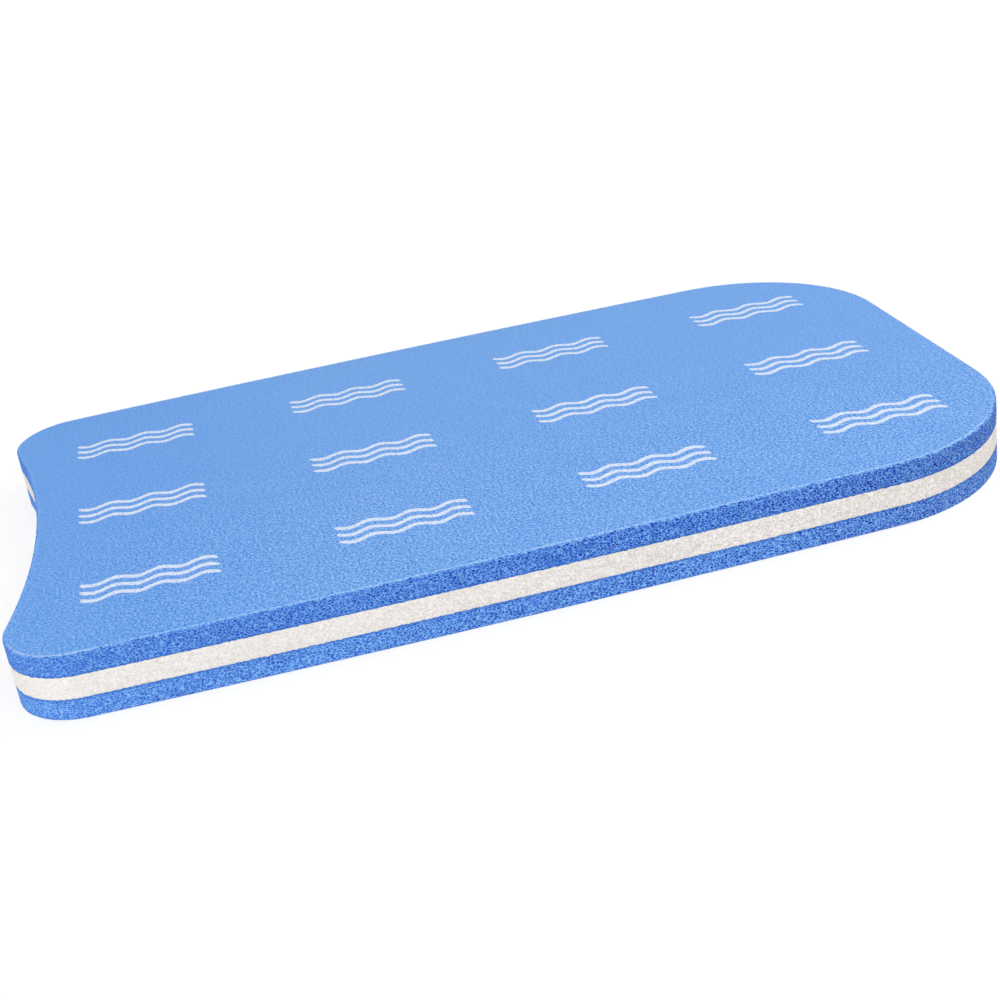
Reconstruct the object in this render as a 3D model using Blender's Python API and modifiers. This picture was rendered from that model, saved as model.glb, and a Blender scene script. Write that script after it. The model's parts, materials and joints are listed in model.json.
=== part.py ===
"""Kickboard: three foam sheets of one outline, bonded face to face.

Units are metres. +X runs from the notched tail to the straight nose, +Y runs
across the board and +Z is up. The origin is at the middle of the board's length
and width, on the surface that the board lies on.
"""

import math

import bmesh
import bpy

# Plan of the board
BOARD_LENGTH = 0.460
BOARD_WIDTH = 0.280
SIDE_RADIUS = 7.0
NOSE_CORNER_RADIUS = 0.080
TAIL_CORNER_RADIUS = 0.030
TAIL_NOTCH_DEPTH = 0.012

# Build-up of the board, from the floor
OUTER_SHEET_THICKNESS = 0.0097
CORE_SHEET_THICKNESS = 0.0100
BOND_CLEARANCE = 0.0003

# Softened rim where the board's two faces meet its cut edge
RIM_RADIUS = 0.0010
RIM_SEGMENTS = 3

# How far a facet may lie inside the arc that it stands for
FACET_SAG = 0.00005

# Vertices closer than this are one, and edges that turn further than this stay sharp
WELD_DISTANCE = 0.00001
SHARP_ANGLE = math.radians(40.0)

# Linear colours and roughness of the closed-cell foam
BLUE_FOAM = (0.145, 0.350, 0.780)
WHITE_FOAM = (0.800, 0.770, 0.740)
FOAM_ROUGHNESS = 0.75


def clear_scene():
    """Remove every object that the opened file holds."""
    for scene_object in list(bpy.data.objects):
        bpy.data.objects.remove(scene_object, do_unlink=True)


def foam_material(name, colour):
    """Return a matt foam material of one colour."""
    material = bpy.data.materials.new(name)
    material.use_nodes = True
    shader = material.node_tree.nodes["Principled BSDF"]
    shader.inputs["Base Color"].default_value = (*colour, 1.0)
    shader.inputs["Roughness"].default_value = FOAM_ROUGHNESS
    shader.inputs["Metallic"].default_value = 0.0
    material.diffuse_color = (*colour, 1.0)
    return material


def arc(centre, radius, start, end):
    """Return the points of an arc, from its start up to one facet before its end."""
    widest_turn = 2 * math.acos(1 - FACET_SAG / radius)
    facets = math.ceil(abs(end - start) / widest_turn)
    turn = (end - start) / facets
    angles = [start + turn * index for index in range(facets)]
    return [
        (centre[0] + radius * math.cos(angle), centre[1] + radius * math.sin(angle))
        for angle in angles
    ]


def half_outline():
    """Return one side of the plan, from the nose round to the middle of the notch.

    The side is a shallow arc whose widest point is at mid-length. The corner arcs
    touch it from inside. The notch is an arc round a point behind the board: it
    touches both tail corners from outside and is as deep as the notch depth. The
    side and the tail corner are two arcs each, so that a point lies at their peaks.
    """
    nose_x = BOARD_LENGTH / 2
    tail_x = -BOARD_LENGTH / 2
    side_centre = (0.0, BOARD_WIDTH / 2 - SIDE_RADIUS)

    nose_reach = SIDE_RADIUS - NOSE_CORNER_RADIUS
    nose_centre_x = nose_x - NOSE_CORNER_RADIUS
    nose_centre_y = side_centre[1] + math.sqrt(nose_reach**2 - nose_centre_x**2)
    nose_end = math.acos(nose_centre_x / nose_reach)

    tail_reach = SIDE_RADIUS - TAIL_CORNER_RADIUS
    tail_centre_x = tail_x + TAIL_CORNER_RADIUS
    tail_centre_y = side_centre[1] + math.sqrt(tail_reach**2 - tail_centre_x**2)
    side_end = math.acos(tail_centre_x / tail_reach)

    inset = TAIL_CORNER_RADIUS - TAIL_NOTCH_DEPTH
    notch_rise = inset**2 + tail_centre_y**2 - TAIL_CORNER_RADIUS**2
    notch_radius = notch_rise / (2 * TAIL_NOTCH_DEPTH)
    notch_centre_x = tail_x + TAIL_NOTCH_DEPTH - notch_radius
    notch_start = math.atan2(tail_centre_y, tail_centre_x - notch_centre_x)

    nose_centre = (nose_centre_x, nose_centre_y)
    tail_centre = (tail_centre_x, tail_centre_y)
    notch_centre = (notch_centre_x, 0.0)
    points = arc(nose_centre, NOSE_CORNER_RADIUS, 0.0, nose_end)
    points += arc(side_centre, SIDE_RADIUS, nose_end, math.pi / 2)
    points += arc(side_centre, SIDE_RADIUS, math.pi / 2, side_end)
    points += arc(tail_centre, TAIL_CORNER_RADIUS, side_end, math.pi)
    points += arc(tail_centre, TAIL_CORNER_RADIUS, math.pi, math.pi + notch_start)
    points += arc(notch_centre, notch_radius, notch_start, 0.0)
    points.append((tail_x + TAIL_NOTCH_DEPTH, 0.0))
    return points


def board_outline():
    """Return the closed plan of the board, counter-clockwise seen from above."""
    half = half_outline()
    mirrored = [(x, -y) for x, y in reversed(half[:-1])]
    return half + mirrored


def is_on_cap(element, side):
    """Tell whether an edge or face lies in the top (side 1) or bottom (side -1) cap."""
    return all(vertex.co.z * side > 0.0 for vertex in element.verts)


def is_inside_cap(edge, side):
    """Tell whether an edge lies between two faces of the same cap."""
    return len(edge.link_faces) == 2 and all(is_on_cap(face, side) for face in edge.link_faces)


def sheet_mesh(name, thickness):
    """Return a flat sheet of the board's plan, centred on its own mid-plane."""
    outline = board_outline()
    curve = bpy.data.curves.new(name, "CURVE")
    curve.dimensions = "2D"
    curve.fill_mode = "BOTH"
    curve.extrude = thickness / 2
    spline = curve.splines.new("POLY")
    spline.points.add(len(outline) - 1)
    for point, (x, y) in zip(spline.points, outline):
        point.co = (x, y, 0.0, 1.0)
    spline.use_cyclic_u = True

    guide = bpy.data.objects.new(name + "_outline", curve)
    bpy.context.scene.collection.objects.link(guide)
    evaluated = guide.evaluated_get(bpy.context.evaluated_depsgraph_get())
    mesh = bpy.data.meshes.new_from_object(evaluated)
    bpy.data.objects.remove(guide, do_unlink=True)
    bpy.data.curves.remove(curve)

    shape = bmesh.new()
    shape.from_mesh(mesh)
    bmesh.ops.remove_doubles(shape, verts=shape.verts, dist=WELD_DISTANCE)
    for side in (1, -1):
        inner_edges = [edge for edge in shape.edges if is_inside_cap(edge, side)]
        bmesh.ops.dissolve_edges(shape, edges=inner_edges, use_verts=False)
    bmesh.ops.recalc_face_normals(shape, faces=shape.faces)
    shape.to_mesh(mesh)
    shape.free()
    mesh.name = name
    return mesh


def mark_rim(mesh, side):
    """Give full bevel weight to the edges round the top (side 1) or bottom (side -1)."""
    shape = bmesh.new()
    shape.from_mesh(mesh)
    weight = shape.edges.layers.float.new("bevel_weight_edge")
    for edge in shape.edges:
        if is_on_cap(edge, side):
            edge[weight] = 1.0
    shape.to_mesh(mesh)
    shape.free()


def add_sheet(collection, board, name, thickness, base_height, material, rim_side=0):
    """Add one sheet, with its underside at base_height, and return its top's height."""
    mesh = sheet_mesh(name, thickness)
    mesh.materials.clear()
    mesh.materials.append(material)
    if rim_side:
        mark_rim(mesh, rim_side)
    mesh.shade_smooth()
    mesh.set_sharp_from_angle(angle=SHARP_ANGLE)

    sheet = bpy.data.objects.new(name, mesh)
    sheet.location.z = base_height + thickness / 2
    sheet.parent = board
    collection.objects.link(sheet)
    if rim_side:
        rim = sheet.modifiers.new("rim", "BEVEL")
        rim.limit_method = "WEIGHT"
        rim.width = RIM_RADIUS
        rim.segments = RIM_SEGMENTS
    return base_height + thickness


def build_kickboard():
    """Stack the bottom sheet, the core sheet and the top sheet on the floor."""
    collection = bpy.data.collections.new("kickboard")
    bpy.context.scene.collection.children.link(collection)
    board = bpy.data.objects.new("kickboard", None)
    collection.objects.link(board)

    blue = foam_material("blue_foam", BLUE_FOAM)
    white = foam_material("white_foam", WHITE_FOAM)
    height = add_sheet(
        collection, board, "bottom_sheet", OUTER_SHEET_THICKNESS, 0.0, blue, rim_side=-1
    )
    height = add_sheet(
        collection, board, "core_sheet", CORE_SHEET_THICKNESS, height + BOND_CLEARANCE, white
    )
    add_sheet(
        collection,
        board,
        "top_sheet",
        OUTER_SHEET_THICKNESS,
        height + BOND_CLEARANCE,
        blue,
        rim_side=1,
    )


def main():
    """Build the kickboard in an empty scene."""
    clear_scene()
    build_kickboard()


if __name__ == "__main__":
    main()
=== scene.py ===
"""The looks of a laminated foam kickboard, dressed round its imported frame.

Three foam sheets are modelled as closed surfaces: smooth skinned faces, softened
rims and cut edges that are open with torn foam cells. A plain studio and a camera
at the reference view complete the scene. Units are metres, +X points to the
straight nose, +Y across the board and +Z up.
"""

import json
import logging
import math
from dataclasses import dataclass, field, replace
from enum import Enum
from typing import Any

import bmesh
import bpy
import numpy as np
from mathutils import Matrix, Vector

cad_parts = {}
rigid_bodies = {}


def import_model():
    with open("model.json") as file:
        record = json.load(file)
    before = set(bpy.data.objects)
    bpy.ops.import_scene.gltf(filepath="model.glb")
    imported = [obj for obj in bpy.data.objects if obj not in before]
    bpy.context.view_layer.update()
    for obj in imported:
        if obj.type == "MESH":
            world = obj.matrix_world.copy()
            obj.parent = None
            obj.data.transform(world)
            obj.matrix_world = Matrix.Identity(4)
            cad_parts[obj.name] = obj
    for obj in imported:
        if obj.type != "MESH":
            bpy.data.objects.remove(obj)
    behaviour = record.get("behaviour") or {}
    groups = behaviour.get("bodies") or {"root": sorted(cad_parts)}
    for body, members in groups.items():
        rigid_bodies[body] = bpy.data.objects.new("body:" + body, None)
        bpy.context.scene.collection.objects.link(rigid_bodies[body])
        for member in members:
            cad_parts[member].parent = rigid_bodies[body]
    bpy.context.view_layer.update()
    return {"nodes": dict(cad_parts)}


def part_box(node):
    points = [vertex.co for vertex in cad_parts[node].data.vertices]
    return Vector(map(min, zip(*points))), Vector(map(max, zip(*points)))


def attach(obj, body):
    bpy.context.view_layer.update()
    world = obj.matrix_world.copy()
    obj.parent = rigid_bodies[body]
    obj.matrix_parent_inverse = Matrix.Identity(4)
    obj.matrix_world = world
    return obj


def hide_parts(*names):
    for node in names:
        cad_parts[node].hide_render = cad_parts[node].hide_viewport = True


LOG = logging.getLogger("kickboard")
MILLIMETRE = 0.001
WELD = 0.01 * MILLIMETRE
WANDER_SINES = 48
WANDER_LONGEST = 6
Colour = tuple[float, float, float]
Span = tuple[float, float]
Marks = dict[str, Any]


class Face(Enum):
    """What a sheet's flat face is."""

    SKIN = "skin"
    BOND = "bond"


# Shader graph


class Value:
    """A shader socket that adds Math nodes when it stands in an expression."""

    def __init__(self, graph: "Graph", socket: bpy.types.NodeSocket) -> None:
        """Wrap one output socket of a graph."""
        self.graph = graph
        self.socket = socket

    def _math(self, operation: str, *operands: Any) -> "Value":
        """Add one Math node.

        Args:
            operation: The node's operation.
            operands: Its inputs in order, as values or numbers.

        Returns:
            The node's result.
        """
        inputs = dict(enumerate(operands))
        node = self.graph.node("ShaderNodeMath", {"operation": operation}, inputs)
        return Value(self.graph, node.outputs[0])

    def __add__(self, other: Any) -> "Value":
        """Return self + other."""
        return self._math("ADD", self, other)

    def __radd__(self, other: Any) -> "Value":
        """Return other + self."""
        return self._math("ADD", other, self)

    def __sub__(self, other: Any) -> "Value":
        """Return self - other."""
        return self._math("SUBTRACT", self, other)

    def __rsub__(self, other: Any) -> "Value":
        """Return other - self."""
        return self._math("SUBTRACT", other, self)

    def __mul__(self, other: Any) -> "Value":
        """Return self * other."""
        return self._math("MULTIPLY", self, other)

    def __rmul__(self, other: Any) -> "Value":
        """Return other * self."""
        return self._math("MULTIPLY", other, self)

    def __abs__(self) -> "Value":
        """Return the value without its sign."""
        return self._math("ABSOLUTE", self)

    def sine(self) -> "Value":
        """Return the sine of an angle in radians."""
        return self._math("SINE", self)

    def wrapped(self, half: float) -> "Value":
        """Return the value folded into the range from -half to half."""
        return self._math("WRAP", self, half, -half)

    def larger(self, other: Any) -> "Value":
        """Return the larger of two values."""
        return self._math("MAXIMUM", self, other)

    def ramp(self, start: float, end: float) -> "Value":
        """Ease the value from 0 to 1, with 3t^2 - 2t^3 of its way from start to end.

        Args:
            start: Where the result is 0, as it is beyond.
            end: Where the result is 1, as it is beyond. It may lie below start.

        Returns:
            A number from 0 to 1.
        """
        settings = {"interpolation_type": "SMOOTHSTEP"}
        inputs = {"Value": self, "From Min": start, "From Max": end}
        node = self.graph.node("ShaderNodeMapRange", settings, inputs)
        return Value(self.graph, node.outputs[0])

    def spread(self, share: Span) -> "Value":
        """Return the first share where the value is 0 and the second where it is 1."""
        return self * (share[1] - share[0]) + share[0]


class Graph:
    """One material's or world's node tree, emptied and ready to be filled."""

    def __init__(self, tree: bpy.types.NodeTree) -> None:
        """Empty the tree."""
        self.tree = tree
        tree.nodes.clear()

    def node(
        self,
        kind: str,
        settings: dict[str, Any] | None = None,
        inputs: dict[Any, Any] | None = None,
    ) -> bpy.types.Node:
        """Add a node of any type.

        Args:
            kind: The node's type.
            settings: The node's own properties, set before its sockets.
            inputs: Socket names or numbers, each with a value, a socket or a number.

        Returns:
            The new node.
        """
        node = self.tree.nodes.new(kind)
        for name, setting in (settings or {}).items():
            setattr(node, name, setting)
        for name, given in (inputs or {}).items():
            socket = node.inputs[name]
            if isinstance(given, Value):
                self.tree.links.new(given.socket, socket)
            elif isinstance(given, bpy.types.NodeSocket):
                self.tree.links.new(given, socket)
            else:
                socket.default_value = given
        return node

    def value(self, node: bpy.types.Node, output: Any = 0) -> Value:
        """Return one output of a node as a value."""
        return Value(self, node.outputs[output])

    def attribute(self, name: str) -> Value:
        """Return a mesh attribute's number."""
        settings = {"attribute_type": "GEOMETRY", "attribute_name": name}
        return self.value(self.node("ShaderNodeAttribute", settings), "Fac")

    def position(self) -> bpy.types.NodeSocket:
        """Return the Object coordinates."""
        return self.node("ShaderNodeTexCoord").outputs["Object"]

    def places(self) -> tuple[Value, Value, Value]:
        """Return how far a point lies along X, Y and Z."""
        split = self.node("ShaderNodeSeparateXYZ", {}, {0: self.position()})
        return self.value(split, "X"), self.value(split, "Y"), self.value(split, "Z")

    def noise(self, size: float, detail: float = 2.0, roughness: float = 0.5) -> Value:
        """Add a smooth random pattern.

        Args:
            size: How far its features are across.
            detail: How many finer octaves it has.
            roughness: How strong an octave is against the one before it.

        Returns:
            Numbers from 0 to 1, mostly near a half.
        """
        inputs = {
            "Vector": self.position(),
            "Scale": 1.0 / size,
            "Detail": detail,
            "Roughness": roughness,
        }
        return self.value(self.node("ShaderNodeTexNoise", {}, inputs), "Fac")

    def sway(self, size: float, detail: float = 2.0) -> Value:
        """Return a noise about 0, from minus a half to a half."""
        return self.noise(size, detail) - 0.5

    def cells(self, size: float, flatness: float) -> tuple[Value, Value]:
        """Fill space with cells, flatter in height than across.

        Args:
            size: How wide a cell is.
            flatness: Its width over its height.

        Returns:
            The distance to the cell's nearest wall in cell widths, and a number from
            0 to 1 that the whole cell shares.
        """
        squeeze = {0: self.position(), 1: (1.0, 1.0, flatness)}
        place = self.node("ShaderNodeVectorMath", {"operation": "MULTIPLY"}, squeeze)
        inputs = {"Vector": place.outputs[0], "Scale": 1.0 / size}
        walls = self.node("ShaderNodeTexVoronoi", {"feature": "DISTANCE_TO_EDGE"}, inputs)
        whole = self.node("ShaderNodeTexVoronoi", {}, inputs)
        chance = self.node("ShaderNodeSeparateColor", {}, {0: whole.outputs["Color"]})
        return self.value(walls, "Distance"), self.value(chance)

    def blend(
        self, first: Any, second: Any, share: Value, mode: str = "MIX"
    ) -> bpy.types.NodeSocket:
        """Mix two colours.

        Args:
            first: The colour where the share is 0, as a socket or three numbers.
            second: The colour where the share is 1, or what it is multiplied by there.
            share: How much of the second colour shows.
            mode: MIX, or MULTIPLY for a tint.

        Returns:
            The mixed colour's socket.
        """
        settings = {"data_type": "RGBA", "blend_type": mode}
        node = self.node("ShaderNodeMix", settings, {"Factor": share})
        colour_inputs = [socket for socket in node.inputs if socket.type == "RGBA"]
        for socket, given in zip(colour_inputs, (first, second)):
            if isinstance(given, bpy.types.NodeSocket):
                self.tree.links.new(given, socket)
            else:
                socket.default_value = (*given, 1.0)
        return next(socket for socket in node.outputs if socket.type == "RGBA")


# Finishes


@dataclass(frozen=True)
class WavePrint:
    """Pale ink on the top face: short stacked waves in a plain grid."""

    ink: Colour = (0.74, 0.80, 0.91)
    pitch_along: float = 112.0 * MILLIMETRE
    pitch_across: float = 84.0 * MILLIMETRE
    wave_length: float = 19.0 * MILLIMETRE
    wave_height: float = 1.7 * MILLIMETRE
    mark_length: float = 57.0 * MILLIMETRE
    stroke_width: float = 3.6 * MILLIMETRE
    stroke_gap: float = 7.4 * MILLIMETRE
    strokes: int = 3
    softness: float = 0.4 * MILLIMETRE
    ragged_size: float = 1.3 * MILLIMETRE
    ragged_depth: float = 1.5 * MILLIMETRE
    pinhole_size: float = 1.5 * MILLIMETRE
    pinhole_ramp: Span = (0.34, 0.52)
    cover: Span = (0.54, 0.90)

    def mask(self, graph: Graph) -> Value:
        """Work out how much ink lies at each point of the top face.

        The place is folded into one cell of the grid, where u runs along the board
        and v across it. A stroke is where the distance from its middle line,
        |v - v0 - height * sin(2 pi u / length)|, joined at right angles with how far
        u lies past the mark's end, is under half the stroke's width. The foam's
        grain eats into its edges and leaves pinholes in the ink.

        Args:
            graph: The material's nodes.

        Returns:
            A share from 0 to 1.
        """
        x, y, _ = graph.places()
        along = (x + self.pitch_along / 2).wrapped(self.pitch_along / 2)
        across = y.wrapped(self.pitch_across / 2)
        ragged = graph.sway(self.ragged_size) * self.ragged_depth
        crest = (along * (2 * math.pi / self.wave_length)).sine() * self.wave_height
        past_end = (abs(along) - self.mark_length / 2).larger(0.0) + ragged
        outer, inner = self.stroke_width / 2, self.stroke_width / 2 - self.softness
        ink: Value | None = None
        for index in range(self.strokes):
            middle = (index - (self.strokes - 1) / 2) * self.stroke_gap
            aside = abs(across - middle - crest) + ragged
            stroke = (aside * aside + past_end * past_end).ramp(outer**2, inner**2)
            ink = stroke if ink is None else ink.larger(stroke)
        filled = graph.noise(self.pinhole_size, detail=1.0).ramp(*self.pinhole_ramp)
        return ink * filled.spread(self.cover)


@dataclass(frozen=True)
class Skin:
    """A foam sheet's moulded face: fine grain, a pale rim line and painted light and shade.

    The grain dapples the mean colour with a deeper and a paler tone. It is calmer
    towards the far side and at the tail. The pale rim line is frayed skin with a
    painted highlight on the rounded rim, the rim at the two tail corners carries a
    painted highlight, and the skin is painted darker towards the tail, with less
    sheen. A pair named ramp gives where a mask is 0 and where it is 1, and a pair
    named share gives how strong something is at these two places.
    """

    mean: Colour
    deep: Colour
    pale: Colour
    # Partly the frayed skin's paler colour, partly a painted highlight where the rounded rim
    # catches the light.
    rim: Colour
    # A painted highlight: the rim at the two tail corners, whiter where it catches the light.
    corner_glint: Colour = (0.640, 0.730, 0.880)
    # Painted shade: multiplies the skin darker towards the tail, with less sheen there.
    end_shade: Colour = (0.840, 0.935, 1.000)
    roughness: float = 0.50
    grain_size: float = 1.15 * MILLIMETRE
    grain_height: float = 0.20
    broad_size: float = 22.0 * MILLIMETRE
    broad_height: float = 0.05
    deep_ramp: Span = (0.50, 0.32)
    pale_ramp: Span = (0.50, 0.68)
    far_ramp: Span = (-0.100, 0.050)
    far_share: Span = (1.00, 0.42)
    tail_ramp: Span = (-0.225, -0.160)
    tail_share: Span = (0.70, 1.00)
    end_shade_ramp: Span = (-0.060, -0.190)
    # The rim line's band, its beads and its fade at the board's ends: frayed skin with a painted
    # highlight.
    rim_start: float = 0.1 * MILLIMETRE
    rim_end: float = 2.6 * MILLIMETRE
    bead_size: float = 1.5 * MILLIMETRE
    bead_ramp: Span = (0.36, 0.62)
    bead_share: Span = (0.08, 0.83)
    side_ramp: Span = (0.222, 0.196)
    side_share: Span = (0.15, 1.00)
    # Where the painted highlight on the tail corners' rim lies and how strong it is.
    glint_rise: Span = (0.0, 0.4 * MILLIMETRE)
    glint_fall: Span = (1.4 * MILLIMETRE, 0.6 * MILLIMETRE)
    glint_strength: float = 0.38
    corner: tuple[float, float] = (-0.212, 0.134)
    corner_reach: float = 0.026

    def grain(self, graph: Graph) -> tuple[Value, Value]:
        """Make the grain.

        Args:
            graph: The material's nodes.

        Returns:
            The grain from 0 to 1, and how clearly it shows, as a share.
        """
        x, y, _ = graph.places()
        clear = y.ramp(*self.far_ramp).spread(self.far_share)
        clear = clear * x.ramp(*self.tail_ramp).spread(self.tail_share)
        return graph.noise(self.grain_size, detail=1.0, roughness=0.8), clear

    def _rim_fray_and_highlight(self, graph: Graph, edge: Value) -> Value:
        """Draw the rim's beaded line, frayed skin with a painted highlight, fading at the board's
        ends.

        Args:
            graph: The material's nodes.
            edge: The way from the rim's middle, positive on the skin.

        Returns:
            The line's share from 0 to 1.
        """
        x, _, _ = graph.places()
        middle = (self.rim_start + self.rim_end) / 2
        band = edge.ramp(self.rim_start, middle) * edge.ramp(self.rim_end, middle)
        beads = graph.noise(self.bead_size, detail=1.0, roughness=0.7).ramp(*self.bead_ramp)
        sides = abs(x).ramp(*self.side_ramp)
        return band * beads.spread(self.bead_share) * sides.spread(self.side_share)

    def _paint_corner_glint(self, graph: Graph, edge: Value) -> Value:
        """Paint a highlight on the rim near the board's two tail corners.

        Args:
            graph: The material's nodes.
            edge: The way from the rim's middle, positive on the skin.

        Returns:
            The painted highlight's share from 0 to 1.
        """
        x, y, _ = graph.places()
        along = x - self.corner[0]
        across = abs(y) - self.corner[1]
        apart = along * along + across * across
        near = apart.ramp(self.corner_reach**2, (self.corner_reach / 2) ** 2)
        line = edge.ramp(*self.glint_rise) * edge.ramp(*self.glint_fall)
        return line * near * self.glint_strength

    def colour(
        self, graph: Graph, grain: Value, clear: Value, edge: Value
    ) -> bpy.types.NodeSocket:
        """Colour the skin.

        Args:
            graph: The material's nodes.
            grain: The grain from 0 to 1.
            clear: How clearly the grain shows.
            edge: The way from the rim's middle, positive on the skin.

        Returns:
            The colour's socket.
        """
        x, _, _ = graph.places()
        tone = grain + graph.sway(self.broad_size) * self.broad_height
        toned = graph.blend(self.mean, self.deep, tone.ramp(*self.deep_ramp) * clear)
        toned = graph.blend(toned, self.pale, tone.ramp(*self.pale_ramp) * clear)
        # The pale rim line: frayed skin with a painted highlight on the rounded rim.
        toned = graph.blend(toned, self.rim, self._rim_fray_and_highlight(graph, edge))
        # Painted shade: the skin darker towards the tail, with less sheen.
        toned = graph.blend(toned, self.end_shade, x.ramp(*self.end_shade_ramp), "MULTIPLY")
        # Painted highlight on the rim at the two tail corners.
        return graph.blend(toned, self.corner_glint, self._paint_corner_glint(graph, edge))


@dataclass(frozen=True)
class Cut:
    """A foam sheet's cut edge: dark pits between paler cell walls.

    The pits are painted shade in the cells' hollows and the paler walls are painted
    light. The painted shade is deeper towards the nose, where the light grazes the
    wall, and calmer at the very tail, the foam deepens beside a bond line, and the
    cut's nose end is painted darker, as shade. A pair named ramp gives where a mask
    is 0 and where it is 1, and a pair named share gives how strong something is at
    these two places.
    """

    mean: Colour
    # Painted shade in the cells' hollows.
    pit_shade: Colour
    # Painted light on the cell walls.
    ridge_light: Colour
    bond: Colour
    # Painted shade: multiplies the cut darker towards the nose, where less light falls.
    end_shade: Colour = (0.980, 0.910, 0.890)
    roughness: float = 0.90
    cell_size: float = 1.62 * MILLIMETRE
    cell_flatness: float = 1.60
    speck_size: float = 0.9 * MILLIMETRE
    speck_height: float = 0.38
    pit_ramp: Span = (0.02, 0.30)
    pit_share: Span = (0.38, 0.93)
    ridge_ramp: Span = (0.12, 0.00)
    # How the pits' painted shade deepens towards the nose, where the light grazes the wall.
    grazing_shade_ramp: Span = (-0.220, 0.140)
    grazing_shade_share: Span = (0.73, 1.17)
    tail_ramp: Span = (-0.222, -0.175)
    tail_share: Span = (0.70, 1.00)
    end_shade_ramp: Span = (0.060, 0.200)
    bond_reach: float = 1.5 * MILLIMETRE
    bond_strength: float = 0.75

    def cells(self, graph: Graph) -> tuple[Value, Value]:
        """Make the cells' painted shade in the pits and painted light on the walls.

        Args:
            graph: The material's nodes.

        Returns:
            How deep a pit is and how much of a cell wall shows, as shares.
        """
        x, _, _ = graph.places()
        wall, depth = graph.cells(self.cell_size, self.cell_flatness)
        opened = wall + graph.sway(self.speck_size, detail=1.0) * self.speck_height
        # The pits' painted shade deepens towards the nose, where light grazes, and calms at the
        # tail.
        grazing_shade = x.ramp(*self.grazing_shade_ramp).spread(self.grazing_shade_share)
        grazing_shade = grazing_shade * x.ramp(*self.tail_ramp).spread(self.tail_share)
        pit_shade = opened.ramp(*self.pit_ramp) * depth.spread(self.pit_share) * grazing_shade
        return pit_shade, opened.ramp(*self.ridge_ramp)

    def colour(self, graph: Graph, pit_shade: Value, ridge_light: Value) -> bpy.types.NodeSocket:
        """Colour the cut edge.

        Args:
            graph: The material's nodes.
            pit_shade: How deep a pit is, as painted shade.
            ridge_light: How much of a cell wall shows, as painted light.

        Returns:
            The colour's socket.
        """
        x, _, _ = graph.places()
        # Painted light on the cell walls, then painted shade in the pits.
        toned = graph.blend(self.mean, self.ridge_light, ridge_light)
        toned = graph.blend(toned, self.pit_shade, pit_shade)
        near_bond = 1 - graph.attribute("bond_way").ramp(0.0, self.bond_reach)
        toned = graph.blend(toned, self.bond, near_bond * self.bond_strength)
        # Painted shade at the nose end of the cut.
        return graph.blend(toned, self.end_shade, x.ramp(*self.end_shade_ramp), "MULTIPLY")


@dataclass(frozen=True)
class FoamFinish:
    """Closed-cell foam whose skin turns into cut foam on a ragged line along the rim."""

    name: str
    skin: Skin
    cut: Cut
    print: WavePrint | None = None
    specular: float = 0.13
    jag_size: float = 1.6 * MILLIMETRE
    jag_depth: float = 5.2 * MILLIMETRE
    jag_ramp: Span = (-0.12 * MILLIMETRE, 0.12 * MILLIMETRE)
    bump_strength: float = 0.9
    bump_height: float = 0.40 * MILLIMETRE

    def material(self) -> bpy.types.Material:
        """Build the foam's material.

        Returns:
            A material that reads the piece's edge_way and bond_way attributes.
        """
        material = bpy.data.materials.new(self.name)
        material.use_nodes = True
        graph = Graph(material.node_tree)
        edge = graph.attribute("edge_way")
        jag = graph.sway(self.jag_size) * self.jag_depth
        skinned = (edge + jag).ramp(*self.jag_ramp)
        grain, clear = self.skin.grain(graph)
        # The cut's painted shade in the pits and painted light on the cell walls.
        pit_shade, ridge_light = self.cut.cells(graph)
        skin_tone = self.skin.colour(graph, grain, clear, edge)
        if self.print:
            skin_tone = graph.blend(skin_tone, self.print.ink, self.print.mask(graph))
        cut_tone = self.cut.colour(graph, pit_shade, ridge_light)
        relief = skinned * grain * clear * self.skin.grain_height - (1 - skinned) * pit_shade
        bump_inputs = {
            "Strength": self.bump_strength,
            "Distance": self.bump_height,
            "Height": relief,
        }
        bump = graph.node("ShaderNodeBump", {}, bump_inputs)
        shader = graph.node(
            "ShaderNodeBsdfPrincipled",
            {},
            {
                "Base Color": graph.blend(cut_tone, skin_tone, skinned),
                "Roughness": skinned.spread((self.cut.roughness, self.skin.roughness)),
                "Normal": bump.outputs["Normal"],
                "Specular IOR Level": self.specular,
            },
        )
        graph.node("ShaderNodeOutputMaterial", {}, {"Surface": shader.outputs[0]})
        return material


BLUE_FOAM = FoamFinish(
    name="blue_foam",
    skin=Skin(
        mean=(0.138, 0.344, 0.757),
        deep=(0.030, 0.204, 0.640),
        pale=(0.342, 0.518, 0.872),
        rim=(0.460, 0.640, 0.930),
    ),
    cut=Cut(
        mean=(0.069, 0.216, 0.700),
        pit_shade=(0.000, 0.019, 0.400),
        ridge_light=(0.185, 0.400, 0.780),
        bond=(0.030, 0.160, 0.590),
    ),
)
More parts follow.
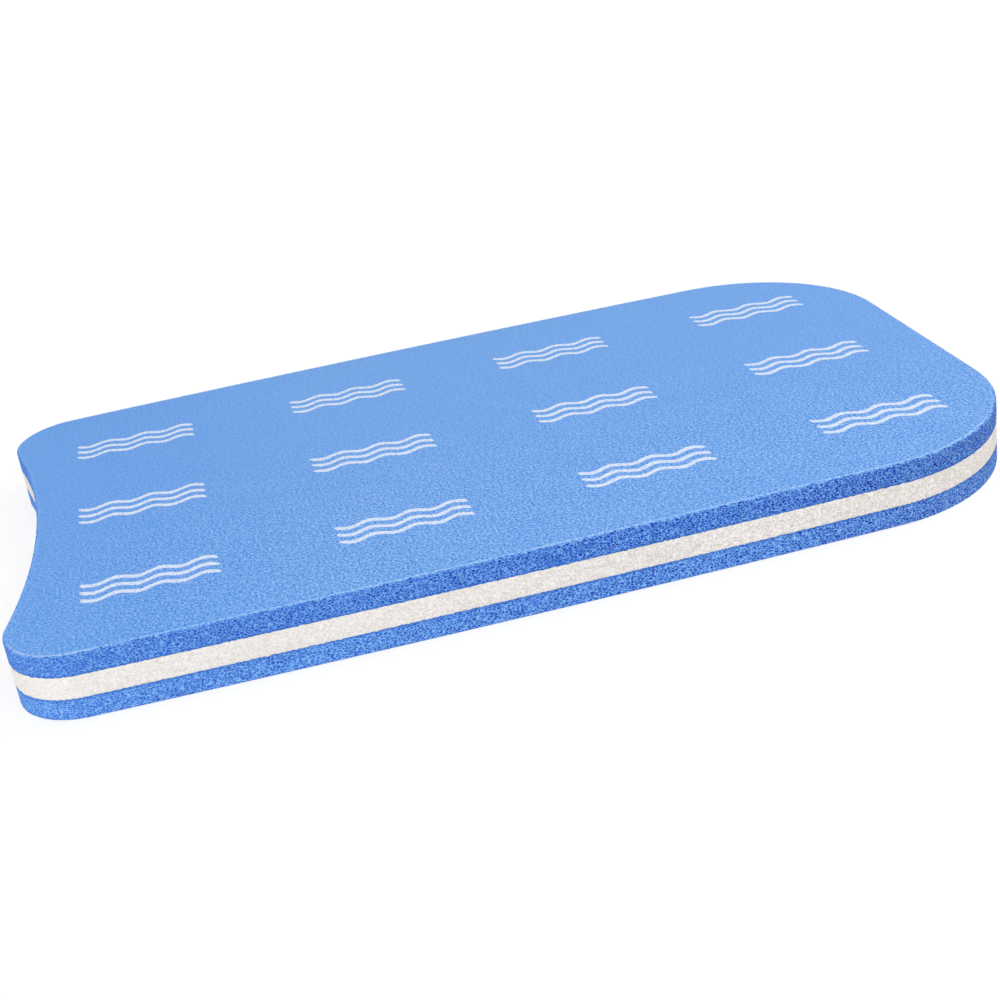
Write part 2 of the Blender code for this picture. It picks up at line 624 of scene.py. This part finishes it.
# A lit copy of the blue foam for the bottom sheet: its cut is painted lighter, standing in for
# light thrown up from the floor.
FLOOR_LIT_BLUE_FOAM = replace(
    BLUE_FOAM,
    name="floor_lit_blue_foam",
    cut=replace(
        BLUE_FOAM.cut,
        mean=(0.097, 0.276, 0.778),
        pit_shade=(0.002, 0.028, 0.445),
        ridge_light=(0.235, 0.490, 0.860),
        grazing_shade_ramp=(-0.220, 0.060),
        grazing_shade_share=(0.71, 1.04),
        end_shade=(0.930, 0.850, 0.870),
    ),
)
PRINTED_BLUE_FOAM = replace(BLUE_FOAM, name="printed_blue_foam", print=WavePrint())
WHITE_FOAM = FoamFinish(
    name="white_foam",
    skin=Skin(
        mean=(0.860, 0.830, 0.805),
        deep=(0.800, 0.770, 0.745),
        pale=(0.900, 0.875, 0.855),
        rim=(0.900, 0.875, 0.855),
    ),
    cut=Cut(
        mean=(0.824, 0.788, 0.756),
        pit_shade=(0.680, 0.625, 0.580),
        ridge_light=(0.886, 0.855, 0.826),
        bond=(0.820, 0.780, 0.745),
        # Painted shade at the nose end of the core's cut, warmer and darker.
        end_shade=(1.000, 0.985, 0.975),
        grazing_shade_share=(0.58, 1.02),
    ),
)


# Shapes


@dataclass(frozen=True)
class Plan:
    """The board's outline: a straight nose, round corners, full sides and a notched tail."""

    length: float
    width: float
    side_radius: float = 7.0
    nose_corner_radius: float = 0.080
    tail_corner_radius: float = 0.030
    notch_depth: float = 0.012

    def _half_runs(self) -> list[tuple[float, float]]:
        """Return one side's runs from mid-nose to mid-notch.

        Each corner arc touches the side's shallow arc from inside, and the notch's
        arc touches the tail corner from outside.

        Returns:
            Pairs of length and signed curvature, 0 for the straight nose.
        """
        sag_centre = self.width / 2 - self.side_radius
        nose_reach = self.side_radius - self.nose_corner_radius
        nose_x = self.length / 2 - self.nose_corner_radius
        nose_y = sag_centre + math.sqrt(nose_reach**2 - nose_x**2)
        nose_turn = math.acos(nose_x / nose_reach)
        tail_reach = self.side_radius - self.tail_corner_radius
        tail_x = self.tail_corner_radius - self.length / 2
        tail_y = sag_centre + math.sqrt(tail_reach**2 - tail_x**2)
        side_turn = math.acos(tail_x / tail_reach) - nose_turn
        inset = self.tail_corner_radius - self.notch_depth
        notch_rise = inset**2 + tail_y**2 - self.tail_corner_radius**2
        notch_radius = notch_rise / (2 * self.notch_depth)
        notch_turn = math.asin(tail_y / (notch_radius + self.tail_corner_radius))
        tail_turn = math.pi + notch_turn - nose_turn - side_turn
        return [
            (nose_y, 0.0),
            (self.nose_corner_radius * nose_turn, 1 / self.nose_corner_radius),
            (self.side_radius * side_turn, 1 / self.side_radius),
            (self.tail_corner_radius * tail_turn, 1 / self.tail_corner_radius),
            (notch_radius * notch_turn, -1 / notch_radius),
        ]

    def sample(self, spacing: float, multiple: int) -> tuple[np.ndarray, np.ndarray, np.ndarray]:
        """Place evenly spaced points round the outline, counter-clockwise from mid-nose.

        Within a run of curvature k and first heading h, the point at distance d is
        the run's first point plus a chord of length d * sin(k d / 2) / (k d / 2) in
        the direction h + k d / 2, which also holds where k is 0.

        Args:
            spacing: The wanted distance between points.
            multiple: A number that the count of points is divisible by.

        Returns:
            The points, their outward normals and their distances along the outline.
        """
        half = self._half_runs()
        lengths, bends = np.array(half + half[::-1]).T
        starts = np.concatenate([[0.0], np.cumsum(lengths)])
        headings = math.pi / 2 + np.concatenate([[0.0], np.cumsum(lengths * bends)])
        corners = np.zeros((len(starts), 2))
        corners[0] = (self.length / 2, 0.0)
        steps = self._chord(lengths, bends, headings[:-1])
        corners[1:] = corners[0] + np.cumsum(steps, axis=0)

        count = multiple * math.ceil(starts[-1] / spacing / multiple)
        distance = np.arange(count) * (starts[-1] / count)
        run = np.searchsorted(starts, distance, side="right") - 1
        part = distance - starts[run]
        points = corners[run] + self._chord(part, bends[run], headings[run])
        heading = headings[run] + bends[run] * part
        normals = np.stack([np.sin(heading), -np.cos(heading)], axis=1)
        return points, normals, distance

    @staticmethod
    def _chord(part: np.ndarray, bend: np.ndarray, heading: np.ndarray) -> np.ndarray:
        """Work out the chords across parts of runs.

        Args:
            part: How far each part goes along its run.
            bend: Each run's signed curvature.
            heading: Each run's first heading.

        Returns:
            Steps from the runs' first points, as an array of n by 2.
        """
        half_turn = bend * part / 2
        reach = part * np.sinc(half_turn / math.pi)
        course = heading + half_turn
        return np.stack([reach * np.cos(course), reach * np.sin(course)], axis=1)


@dataclass(frozen=True)
class FoamCells:
    """Bubbles of foam scattered in space, which a cut opens as shallow cups.

    The table is how many lattice boxes pass along each side before the bubbles
    repeat, and the reach is a cup's radius in pitches.
    """

    pitch: float
    seed: int
    table: int = 64
    reach: float = 0.78

    def cups(self, points: np.ndarray) -> np.ndarray:
        """Work out how deep each point lies in the cup that it falls in.

        Space is a lattice of the pitch with one centre jittered inside each box. A
        cup is a bowl, 1 - (distance / reach)^2, times its own depth from 0 to 1.

        Args:
            points: The places, as an array of n by 3.

        Returns:
            Depths from 0, a ridge between cups, to 1, the floor of a deep cup.
        """
        chance = np.random.default_rng(self.seed)
        jitter = chance.random((self.table, self.table, self.table, 3))
        strength = chance.random((self.table, self.table, self.table))
        scaled = points / self.pitch
        home = np.floor(scaled).astype(int)
        nearest = np.full(len(points), np.inf)
        depth = np.zeros(len(points))
        for offset in np.ndindex(3, 3, 3):
            box = home + np.array(offset) - 1
            key = tuple((box % self.table).T)
            distance = np.linalg.norm(box + jitter[key] - scaled, axis=1)
            closer = distance < nearest
            nearest = np.where(closer, distance, nearest)
            depth = np.where(closer, strength[key], depth)
        bowl = np.clip(1 - (nearest / self.reach) ** 2, 0.0, 1.0)
        return bowl * depth


def smooth_wander(distance: np.ndarray, total: float, wave: float, seed: int) -> np.ndarray:
    """Return a smooth random line along a closed path.

    It is a sum of sines whose whole numbers of turns round the path give wave
    lengths from about wave to a few times it, scaled to a standard deviation of 1.

    Args:
        distance: Distances along the path.
        total: The path's whole length.
        wave: The shortest wave length.
        seed: The seed of the sines' turns and phases.

    Returns:
        One number for each distance.
    """
    chance = np.random.default_rng(seed)
    fewest = int(total / wave / WANDER_LONGEST)
    turns = chance.integers(fewest, int(total / wave), size=WANDER_SINES)
    phases = chance.random(WANDER_SINES) * 2 * math.pi
    angles = 2 * math.pi * np.outer(distance / total, turns) + phases
    return np.sin(angles).sum(axis=1) / math.sqrt(WANDER_SINES / 2)


def eased(value: np.ndarray) -> np.ndarray:
    """Return 3t^2 - 2t^3 of a value clamped to the range from 0 to 1."""
    clamped = np.clip(value, 0.0, 1.0)
    return clamped * clamped * (3 - 2 * clamped)


@dataclass
class Rings:
    """A closed surface made of rings, from the middle of one face to that of the other."""

    places: list[np.ndarray] = field(default_factory=list)
    marks: dict[str, list[np.ndarray]] = field(default_factory=dict)

    def extend(self, rings: list[tuple[np.ndarray, Marks]]) -> None:
        """Add rings.

        Args:
            rings: Each ring's places, as an array of n by 3, and its marks, each as
                one number or one for each place.
        """
        for places, marks in rings:
            self.places.append(places)
            for name, numbers in marks.items():
                full = np.broadcast_to(numbers, len(places)).astype(float)
                self.marks.setdefault(name, []).append(full)

    def _band(self, first: int, count: int, second: int, next_count: int) -> list[list[int]]:
        """Return the faces between two rings.

        Rings of one count are joined by quads. Where one ring has twice the points
        of the other, three triangles join each pair of its edges to one edge.

        Args:
            first: The first ring's first vertex.
            count: Its number of points.
            second: The second ring's first vertex.
            next_count: Its number of points.

        Returns:
            Faces whose normals follow ring direction times travel from first to second.
        """
        few = min(count, next_count)
        here = np.arange(few)
        ahead = (here + 1) % few
        if count == next_count:
            quads = np.stack([first + here, first + ahead, second + ahead, second + here], axis=1)
            return quads.tolist()
        left, middle, right = 2 * here, 2 * here + 1, (2 * here + 2) % (2 * few)
        if count > next_count:
            groups = [
                (first + left, first + middle, second + here),
                (first + middle, second + ahead, second + here),
                (first + middle, first + right, second + ahead),
            ]
        else:
            groups = [
                (first + here, second + middle, second + left),
                (first + here, first + ahead, second + middle),
                (first + ahead, second + right, second + middle),
            ]
        return np.concatenate([np.stack(group, axis=1) for group in groups]).tolist()

    def mesh(self, name: str) -> bpy.types.Mesh:
        """Join the rings and close the first and last one along the board's middle line.

        Args:
            name: The mesh's name.

        Returns:
            A closed mesh with the marks as point attributes.
        """
        counts = [len(ring) for ring in self.places]
        firsts = np.concatenate([[0], np.cumsum(counts)]).tolist()
        faces: list[list[int]] = []
        for index in range(len(counts) - 1):
            faces += self._band(firsts[index], counts[index], firsts[index + 1], counts[index + 1])
        mesh = bpy.data.meshes.new(name)
        mesh.from_pydata(np.concatenate(self.places).tolist(), [], faces)
        for mark, numbers in self.marks.items():
            attribute = mesh.attributes.new(mark, "FLOAT", "POINT")
            attribute.data.foreach_set("value", np.concatenate(numbers).astype(np.float32))
        shape = bmesh.new()
        shape.from_mesh(mesh)
        shape.verts.ensure_lookup_table()
        ends = shape.verts[: counts[0]] + shape.verts[firsts[-2] :]
        bmesh.ops.remove_doubles(shape, verts=ends, dist=WELD)
        shape.to_mesh(mesh)
        shape.free()
        mesh.shade_smooth()
        return mesh


# Sub-assemblies


@dataclass
class FoamSheet:
    """One sheet of foam with the board's outline, from one height to another.

    Thinning gives how far past a face's first ring the next rings lie, each with
    the step between the outline's points that it keeps. The cups fade in over
    cup_fade below a skin, and groove_reach is how far a bond's groove spreads.
    """

    name: str
    plan: Plan
    low: float
    high: float
    low_face: Face
    high_face: Face
    finish: FoamFinish
    slot: str
    spacing: float = 0.46 * MILLIMETRE
    rim_width: float = 1.6 * MILLIMETRE
    rim_drop: float = 0.8 * MILLIMETRE
    rim_steps: int = 6
    cells: FoamCells = FoamCells(1.6 * MILLIMETRE, seed=11)
    cup_depth: float = 0.34 * MILLIMETRE
    cup_fade: float = 1.0 * MILLIMETRE
    bond_wave: float = 2.2 * MILLIMETRE
    bond_wander: float = 0.09 * MILLIMETRE
    groove_depth: float = 0.10 * MILLIMETRE
    groove_reach: float = 0.60 * MILLIMETRE
    hidden_way: float = -5.0 * MILLIMETRE
    skin_inset: float = 2.2 * MILLIMETRE
    bond_inset: float = 0.8 * MILLIMETRE
    thinning: tuple[tuple[float, int], ...] = (
        (0.0, 2),
        (0.9 * MILLIMETRE, 4),
        (2.6 * MILLIMETRE, 8),
    )
    spine_half_length: float = 120.0 * MILLIMETRE
    face_steps: int = 14

    def __post_init__(self) -> None:
        """Place the outline's points, which all rings follow."""
        coarsest = self.thinning[-1][1]
        self.points, self.normals, self.distance = self.plan.sample(self.spacing, coarsest)

    def _inward(self, inset: float, share: float, every: int) -> np.ndarray:
        """Return a flat ring inside the outline.

        The ring lies at the inset, square to the outline, and is then drawn by the
        share towards the nearest point of a spine along the board's middle.

        Args:
            inset: The distance inside the outline.
            share: 0 at the inset and 1 on the spine.
            every: Takes every point, every second one, and so on.

        Returns:
            An array of n by 2.
        """
        edge = (self.points - self.normals * inset)[::every]
        spine_x = np.clip(edge[:, 0], -self.spine_half_length, self.spine_half_length)
        spine = np.stack([spine_x, np.zeros(len(edge))], axis=1)
        return edge + (spine - edge) * share

    def _flat_rings(self, face: Face, height: float) -> list[tuple[np.ndarray, Marks]]:
        """Return a face's rings with their marks, from the rim inwards.

        Args:
            face: What the face is.
            height: The face's height.

        Returns:
            Rings of n by 3 with their marks.
        """
        first = self.skin_inset if face is Face.SKIN else self.bond_inset
        flats = [(first + past, 0.0, every) for past, every in self.thinning]
        last, _, coarsest = flats[-1]
        shares = [(step + 1) / self.face_steps for step in range(self.face_steps)]
        flats += [(last, share, coarsest) for share in shares]
        rings = []
        for inset, share, every in flats:
            ring = self._inward(inset, share, every)
            place = np.column_stack([ring, np.full(len(ring), height)])
            way = inset + share if face is Face.SKIN else self.hidden_way
            rings.append((place, {"edge_way": way, "bond_way": 0.0}))
        return rings

    def _profile(self) -> tuple[np.ndarray, np.ndarray, np.ndarray]:
        """Trace the wall from the low face to the high face.

        A rim is a quarter of an ellipse: inset w (1 - sin a) and drop h (1 - cos a)
        from the face, for a from 0 at the face to a quarter turn at the wall. The
        way is the length along the profile from the rim's middle, positive towards
        the face and negative down the wall.

        Returns:
            The rings' heights, their insets and their ways.
        """
        angles = np.linspace(0.0, math.pi / 2, self.rim_steps, endpoint=False)
        drop = self.rim_drop * (1 - np.cos(angles))
        inset = self.rim_width * (1 - np.sin(angles))
        low_skin = self.low_face is Face.SKIN
        high_skin = self.high_face is Face.SKIN
        start = self.low + (self.rim_drop if low_skin else 0.0)
        end = self.high - (self.rim_drop if high_skin else 0.0)
        count = math.ceil((end - start) / self.spacing) + 1
        heights = [np.linspace(start, end, count)]
        insets = [np.zeros(count)]
        if low_skin:
            heights.insert(0, self.low + drop)
            insets.insert(0, inset)
        if high_skin:
            heights.append(self.high - drop[::-1])
            insets.append(inset[::-1])
        height, inset = np.concatenate(heights), np.concatenate(insets)
        steps = np.hypot(np.diff(height), np.diff(inset))
        length = np.concatenate([[0.0], np.cumsum(steps)])
        middle = self.rim_steps // 2
        if low_skin:
            return height, inset, length[middle] - length
        if high_skin:
            return height, inset, length - length[-1 - middle]
        return height, inset, np.full(len(height), self.hidden_way)

    def _wall(self) -> list[tuple[np.ndarray, Marks]]:
        """Return the cut edge's rings from the low face to the high face.

        Each point is pressed inwards by the cup that it falls in and by a slight
        groove along a bond line. The cups fade out under the skin, and a bond line
        wanders up and down.

        Returns:
            Rings of n by 3 with their marks.
        """
        total = self.distance[-1] + self.distance[1]
        wander_low = self._wander(self.low_face, self.low, total)
        wander_high = self._wander(self.high_face, self.high, total)
        rings = []
        for height, inset, way in zip(*self._profile()):
            share = (height - self.low) / (self.high - self.low)
            level = height + wander_low * (1 - share) + wander_high * share
            place = np.column_stack([self.points - self.normals * inset, level])
            bond_way = self._bond_way(height)
            pressed = self.cup_depth * self.cells.cups(place) * eased(-way / self.cup_fade)
            pressed += self.groove_depth * eased(1 - bond_way / self.groove_reach)
            place[:, :2] -= self.normals * pressed[:, None]
            rings.append((place, {"edge_way": way, "bond_way": bond_way}))
        return rings

    def _bond_way(self, height: float) -> float:
        """Return how far a height is from the nearest bond line."""
        ends = ((self.low, self.low_face), (self.high, self.high_face))
        return min(abs(height - level) for level, face in ends if face is Face.BOND)

    def _wander(self, face: Face, height: float, total: float) -> np.ndarray:
        """Work out how far a bond line strays from its height, alike for both sheets.

        Args:
            face: What the face is. A skin doesn't stray.
            height: The face's height, which also gives the line's seed.
            total: The outline's whole length.

        Returns:
            One number for each point of the outline.
        """
        if face is Face.SKIN:
            return np.zeros(len(self.distance))
        seed = round(height / MILLIMETRE)
        return smooth_wander(self.distance, total, self.bond_wave, seed) * self.bond_wander

    def build(self) -> bpy.types.Object:
        """Build the sheet, dress it and tie it to the frame.

        Returns:
            The sheet's object, which replaces the frame's node of its name.
        """
        rings = Rings()
        rings.extend(self._flat_rings(self.low_face, self.low)[::-1])
        rings.extend(self._wall())
        rings.extend(self._flat_rings(self.high_face, self.high))
        mesh = rings.mesh(self.name + "_foam")
        mesh.materials.append(self.finish.material())
        sheet = bpy.data.objects.new(self.name + "_foam", mesh)
        bpy.context.scene.collection.objects.link(sheet)
        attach(sheet, "root")
        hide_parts(self.name)
        triangles = sum(len(polygon.vertices) - 2 for polygon in mesh.polygons)
        LOG.info("%s: %d triangles", sheet.name, triangles)
        return sheet


@dataclass
class Kickboard:
    """The whole board: two blue sheets bonded to a white core."""

    hairline: float = 0.01 * MILLIMETRE

    def build(self) -> list[bpy.types.Object]:
        """Build the three sheets from the frame's boxes, closing the gaps between them.

        Returns:
            The sheets from the bottom up.
        """
        bottom_low, bottom_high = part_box("bottom_sheet")
        core_low, core_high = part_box("core_sheet")
        top_low, top_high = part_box("top_sheet")
        plan = Plan(length=top_high.x - top_low.x, width=top_high.y - top_low.y)
        lower_bond = (bottom_high.z + core_low.z) / 2
        upper_bond = (core_high.z + top_low.z) / 2
        sheets = [
            FoamSheet(
                name="bottom_sheet",
                plan=plan,
                low=bottom_low.z,
                high=lower_bond - self.hairline,
                low_face=Face.SKIN,
                high_face=Face.BOND,
                # The bottom sheet's cut is painted lighter, for light thrown up from the floor.
                finish=FLOOR_LIT_BLUE_FOAM,
                slot="blue_foam",
            ),
            FoamSheet(
                name="core_sheet",
                plan=plan,
                low=lower_bond + self.hairline,
                high=upper_bond - self.hairline,
                low_face=Face.BOND,
                high_face=Face.BOND,
                finish=WHITE_FOAM,
                slot="white_foam",
                cup_depth=0.24 * MILLIMETRE,
            ),
            FoamSheet(
                name="top_sheet",
                plan=plan,
                low=upper_bond + self.hairline,
                high=top_high.z,
                low_face=Face.BOND,
                high_face=Face.SKIN,
                finish=PRINTED_BLUE_FOAM,
                slot="blue_foam",
            ),
        ]
        return [sheet.build() for sheet in sheets]


@dataclass
class Camera:
    """A camera at the reference view, which looks from the near side down on the board."""

    azimuth: float = math.radians(-9.8601)
    elevation: float = math.radians(24.7545)
    roll: float = math.radians(8.5956)
    distance: float = 0.77352
    target: tuple[float, float, float] = (-0.00707, -0.05271, 0.01500)
    lens: float = 60.057
    sensor: float = 36.0

    def build(self) -> bpy.types.Object:
        """Place the camera round its target and turn it about its own axis.

        Returns:
            The scene's camera.
        """
        sin_a, cos_a = math.sin(self.azimuth), math.cos(self.azimuth)
        sin_e, cos_e = math.sin(self.elevation), math.cos(self.elevation)
        forward = Vector((-sin_a * cos_e, cos_a * cos_e, -sin_e))
        level = Vector((cos_a, sin_a, 0.0))
        down = forward.cross(level)
        right = level * math.cos(self.roll) + down * math.sin(self.roll)
        up = level * math.sin(self.roll) - down * math.cos(self.roll)
        data = bpy.data.cameras.new("reference_camera")
        data.lens = self.lens
        data.sensor_width = self.sensor
        camera = bpy.data.objects.new("reference_camera", data)
        bpy.context.scene.collection.objects.link(camera)
        turn = Matrix((right, up, -forward)).transposed().to_4x4()
        place = Matrix.Translation(Vector(self.target) - forward * self.distance)
        camera.matrix_world = place @ turn
        bpy.context.scene.camera = camera
        LOG.info("%s: %.1f mm lens", camera.name, self.lens)
        return camera


@dataclass(frozen=True)
class Softbox:
    """A square lamp at a place, turned to the board."""

    name: str
    place: tuple[float, float, float]
    side: float
    watts: float

    def build(self) -> None:
        """Add the lamp to the scene."""
        data = bpy.data.lights.new(self.name, "AREA")
        data.size = self.side
        data.energy = self.watts
        lamp = bpy.data.objects.new(self.name, data)
        lamp.location = self.place
        lamp.rotation_euler = (-Vector(self.place)).to_track_quat("-Z", "Y").to_euler()
        bpy.context.scene.collection.objects.link(lamp)
        LOG.info("%s: %.1f W", self.name, self.watts)


@dataclass
class Studio:
    """A plain white floor under an even white sky and four softboxes.

    The floor is floor_white to the light that it throws back. To the eye it is
    seen_white plus a glow, which rises from seen_glow to 1 between glow_start and
    glow_end, counted from the board's middle.
    """

    sky: float = 0.50
    floor_size: float = 60.0
    floor_white: float = 0.86
    seen_white: float = 0.25
    seen_glow: float = 0.775
    glow_start: float = 0.35
    glow_end: float = 1.20
    lamps: tuple[Softbox, ...] = (
        Softbox("front_softbox", place=(0.12, -1.05, 0.75), side=0.8, watts=6.8),
        Softbox("side_softbox", place=(-1.15, -0.45, 0.20), side=0.3, watts=3.2),
        Softbox("top_softbox", place=(1.05, 0.10, 1.30), side=0.9, watts=9.2),
        Softbox("back_softbox", place=(-0.80, 1.00, 0.70), side=0.8, watts=3.0),
    )

    @staticmethod
    def _seen(graph: Graph) -> Value:
        """Tell the rays that show the background, straight or in a gloss.

        Args:
            graph: The nodes of the world or of the floor.

        Returns:
            1 for such rays and 0 for the rest.
        """
        paths = graph.node("ShaderNodeLightPath")
        seen = graph.value(paths, "Is Camera Ray")
        for name in ("Is Glossy Ray", "Is Transmission Ray"):
            seen = seen.larger(graph.value(paths, name))
        return seen

    def _world(self) -> None:
        """Light the scene evenly and show pure white behind it."""
        world = bpy.data.worlds.new("studio_sky")
        world.use_nodes = True
        bpy.context.scene.world = world
        graph = Graph(world.node_tree)
        white = (1.0, 1.0, 1.0, 1.0)
        lit = graph.node("ShaderNodeBackground", {}, {"Color": white, "Strength": self.sky})
        shown = graph.node("ShaderNodeBackground", {}, {"Color": white, "Strength": 1.0})
        shaders = {0: self._seen(graph), 1: lit.outputs[0], 2: shown.outputs[0]}
        mixed = graph.node("ShaderNodeMixShader", {}, shaders)
        graph.node("ShaderNodeOutputWorld", {}, {"Surface": mixed.outputs[0]})

    def _floor_material(self) -> bpy.types.Material:
        """Make a matt white that shows as pure white where no shadow falls.

        Its glow grows with the distance from the board, where the lamps reach less.

        Returns:
            The floor's material.
        """
        material = bpy.data.materials.new("studio_floor")
        material.use_nodes = True
        graph = Graph(material.node_tree)
        lit = graph.node("ShaderNodeBsdfDiffuse", {}, {"Color": (*[self.floor_white] * 3, 1.0)})
        matt = graph.node("ShaderNodeBsdfDiffuse", {}, {"Color": (*[self.seen_white] * 3, 1.0)})
        away = graph.node("ShaderNodeVectorMath", {"operation": "LENGTH"}, {0: graph.position()})
        far = graph.value(away, "Value").ramp(self.glow_start, self.glow_end)
        glows = graph.blend((self.seen_glow,) * 3, (1.0, 1.0, 1.0), far)
        glow = graph.node("ShaderNodeEmission", {}, {"Color": glows})
        shown = graph.node("ShaderNodeAddShader", {}, {0: matt.outputs[0], 1: glow.outputs[0]})
        shaders = {0: self._seen(graph), 1: lit.outputs[0], 2: shown.outputs[0]}
        mixed = graph.node("ShaderNodeMixShader", {}, shaders)
        graph.node("ShaderNodeOutputMaterial", {}, {"Surface": mixed.outputs[0]})
        return material

    def _floor(self) -> bpy.types.Object:
        """Lay the floor at the height that the board rests on.

        Returns:
            The floor, which is no part of the board.
        """
        half = self.floor_size / 2
        square = ((-half, -half), (half, -half), (half, half), (-half, half))
        corners = [(x, y, 0.0) for x, y in square]
        mesh = bpy.data.meshes.new("studio_floor")
        mesh.from_pydata(corners, [], [(0, 1, 2, 3)])
        mesh.materials.append(self._floor_material())
        floor = bpy.data.objects.new("studio_floor", mesh)
        bpy.context.scene.collection.objects.link(floor)
        return floor

    def build(self) -> None:
        """Build the sky, the floor and the lamps, and show colours as they are."""
        self._world()
        self._floor()
        for lamp in self.lamps:
            lamp.build()
        bpy.context.scene.view_settings.view_transform = "Standard"
        LOG.info("studio: sky %.2f, %d softboxes", self.sky, len(self.lamps))


def main() -> None:
    """Load the frame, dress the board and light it."""
    logging.basicConfig(level=logging.INFO, format="%(name)s %(message)s")
    for scene_object in list(bpy.data.objects):
        bpy.data.objects.remove(scene_object, do_unlink=True)
    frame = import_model()
    LOG.info("frame: %d nodes", len(frame["nodes"]))
    Camera().build()
    Kickboard().build()
    Studio().build()


if __name__ == "__main__":
    main()
